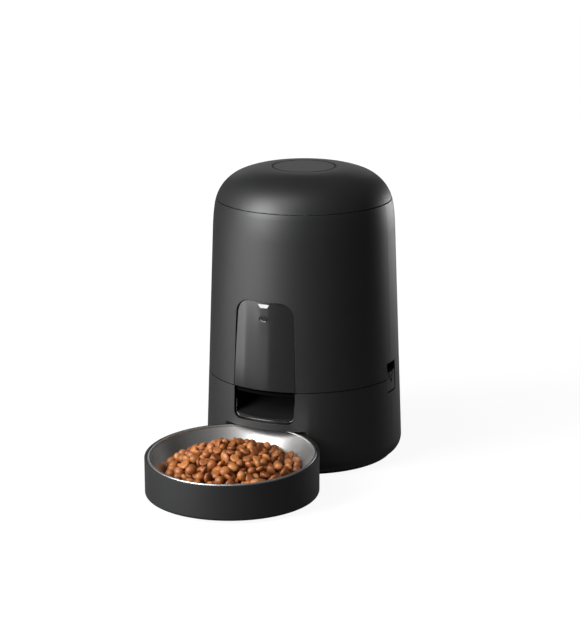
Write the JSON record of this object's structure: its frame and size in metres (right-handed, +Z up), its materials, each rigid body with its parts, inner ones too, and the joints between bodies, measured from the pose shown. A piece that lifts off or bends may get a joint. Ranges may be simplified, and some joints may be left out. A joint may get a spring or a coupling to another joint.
{
  "type": "automatic pet feeder",
  "caption": "Round dry-food feeder with a domed lid, a hopper over a dosing rotor, a geared drive, a chute and a removable steel bowl in a holder.",
  "frame": {"origin": "middle of the footprint's bounding box, on the floor", "axes": "+Z up, the bowl and the control column face -Y, +X to the feeder's left as seen from the front"},
  "size_m": [0.1807, 0.3138, 0.2669],
  "materials": {
    "shell_plastic": "matte black with a fine grain",
    "panel_plastic": "satin black",
    "inner_plastic": "smooth light grey",
    "dark_plastic": "smooth black",
    "gear_plastic": "natural nylon",
    "rubber": "soft matte rubber",
    "silicone": "translucent silicone",
    "bowl_steel": "satin stainless steel",
    "fixing_steel": "zinc plated",
    "motor_steel": "drawn steel can",
    "cell_wrap": "shrink wrap",
    "board_green": "solder mask",
    "chip_black": "moulded packages",
    "lens": "smoked lens",
    "paper_bag": "non-woven sachet"
  },
  "bodies": {
    "base": {"base_shell": "shell_plastic", "base_deck": "dark_plastic", "bottom_cover": "dark_plastic", "base_pads": "rubber", "bottom_screws": "fixing_steel", "chute": "dark_plastic", "chute_screws": "fixing_steel", "gear_case": "dark_plastic", "gear_case_cover": "dark_plastic", "gear_case_screws": "fixing_steel", "motor": "motor_steel", "motor_screws": "fixing_steel", "idler_pin": "fixing_steel", "battery_pack": "cell_wrap", "main_board": "board_green", "board_parts": "chip_black", "charging_port": "motor_steel", "front_panel": "panel_plastic", "panel_back": "dark_plastic", "panel_screws": "fixing_steel", "status_lens": "lens", "button_board": "board_green", "button_switch": "chip_black", "status_led": "lens", "latch_guide_right": "dark_plastic", "latch_guide_left": "dark_plastic"},
    "tank": {"tank_shell": "shell_plastic", "hopper": "inner_plastic", "rotor_housing": "inner_plastic", "rotor_chamber": "inner_plastic", "tank_screws": "fixing_steel", "outlet_guard": "inner_plastic"},
    "lid": {"lid_shell": "shell_plastic", "lid_liner": "inner_plastic", "lid_seal": "silicone", "lid_screws": "fixing_steel"},
    "knob": {"lid_knob": "shell_plastic", "knob_clip": "fixing_steel", "knob_spring": "fixing_steel"},
    "desiccant": {"desiccant_cover": "inner_plastic", "desiccant_bag": "paper_bag"},
    "rotor": {"rotor": "inner_plastic", "rotor_wipers": "silicone", "stirrer": "inner_plastic"},
    "drive": {"output_gear": "gear_plastic", "drive_dog": "gear_plastic"},
    "idler": {"idler_gear": "gear_plastic"},
    "motor_drive": {"motor_pinion": "gear_plastic", "motor_shaft": "fixing_steel"},
    "button": {"feed_button": "panel_plastic"},
    "bowl": {"bowl_holder": "shell_plastic", "steel_bowl": "bowl_steel", "holder_pads": "rubber"},
    "latch_right": {"latch_slider_right": "shell_plastic"},
    "latch_left": {"latch_slider_left": "shell_plastic"},
    "bolt_right": {"latch_bolt_right": "gear_plastic"},
    "bolt_left": {"latch_bolt_left": "gear_plastic"}
  },
  "joints": [
    {"name": "tank_lift", "type": "slide", "parent": "base", "child": "tank", "axis": [0, 0, 1], "range_m": [0, 0.1]},
    {"name": "lid_lift", "type": "slide", "parent": "tank", "child": "lid", "axis": [0, 0, 1], "range_m": [0, 0.08]},
    {"name": "knob_pop", "type": "slide", "parent": "lid", "child": "knob", "axis": [0, 0, 1], "range_m": [0, 0.0095], "deforming": ["knob_spring"]},
    {"name": "desiccant_pull", "type": "slide", "parent": "lid", "child": "desiccant", "axis": [0, 0, -1], "range_m": [0, 0.025]},
    {"name": "rotor_spin", "type": "hinge", "parent": "tank", "child": "rotor", "pos_m": [0, 0.06657, 0], "axis": [0, 0, 1], "continuous": true},
    {"name": "drive_spin", "type": "hinge", "parent": "base", "child": "drive", "pos_m": [0, 0.06657, 0], "axis": [0, 0, 1], "continuous": true},
    {"name": "idler_spin", "type": "hinge", "parent": "base", "child": "idler", "pos_m": [0, 0.09657, 0], "axis": [0, 0, 1], "continuous": true},
    {"name": "motor_spin", "type": "hinge", "parent": "base", "child": "motor_drive", "pos_m": [0, 0.11737, 0], "axis": [0, 0, 1], "continuous": true},
    {"name": "feed_press", "type": "slide", "parent": "base", "child": "button", "axis": [0, 1, 0], "range_m": [0, 0.0008], "stiffness_N_per_m": 500},
    {"name": "bowl_slide", "type": "slide", "parent": "base", "child": "bowl", "axis": [0, -1, 0], "range_m": [0, 0.08]},
    {"name": "latch_right_slide", "type": "slide", "parent": "base", "child": "latch_right", "axis": [0, 0, 1], "range_m": [0, 0.008]},
    {"name": "bolt_right_slide", "type": "slide", "parent": "base", "child": "bolt_right", "axis": [-1, 0, 0], "range_m": [0, 0.003]},
    {"name": "latch_left_slide", "type": "slide", "parent": "base", "child": "latch_left", "axis": [0, 0, 1], "range_m": [0, 0.008]},
    {"name": "bolt_left_slide", "type": "slide", "parent": "base", "child": "bolt_left", "axis": [1, 0, 0], "range_m": [0, 0.003]}
  ],
  "couplings": [
    {"joint": "drive_spin", "follows": "rotor_spin", "ratio": 1},
    {"joint": "idler_spin", "follows": "rotor_spin", "ratio": -4},
    {"joint": "motor_spin", "follows": "rotor_spin", "ratio": 13.333},
    {"joint": "bolt_right_slide", "follows": "latch_right_slide", "ratio": 0.375},
    {"joint": "bolt_left_slide", "follows": "latch_left_slide", "ratio": 0.375}
  ]
}
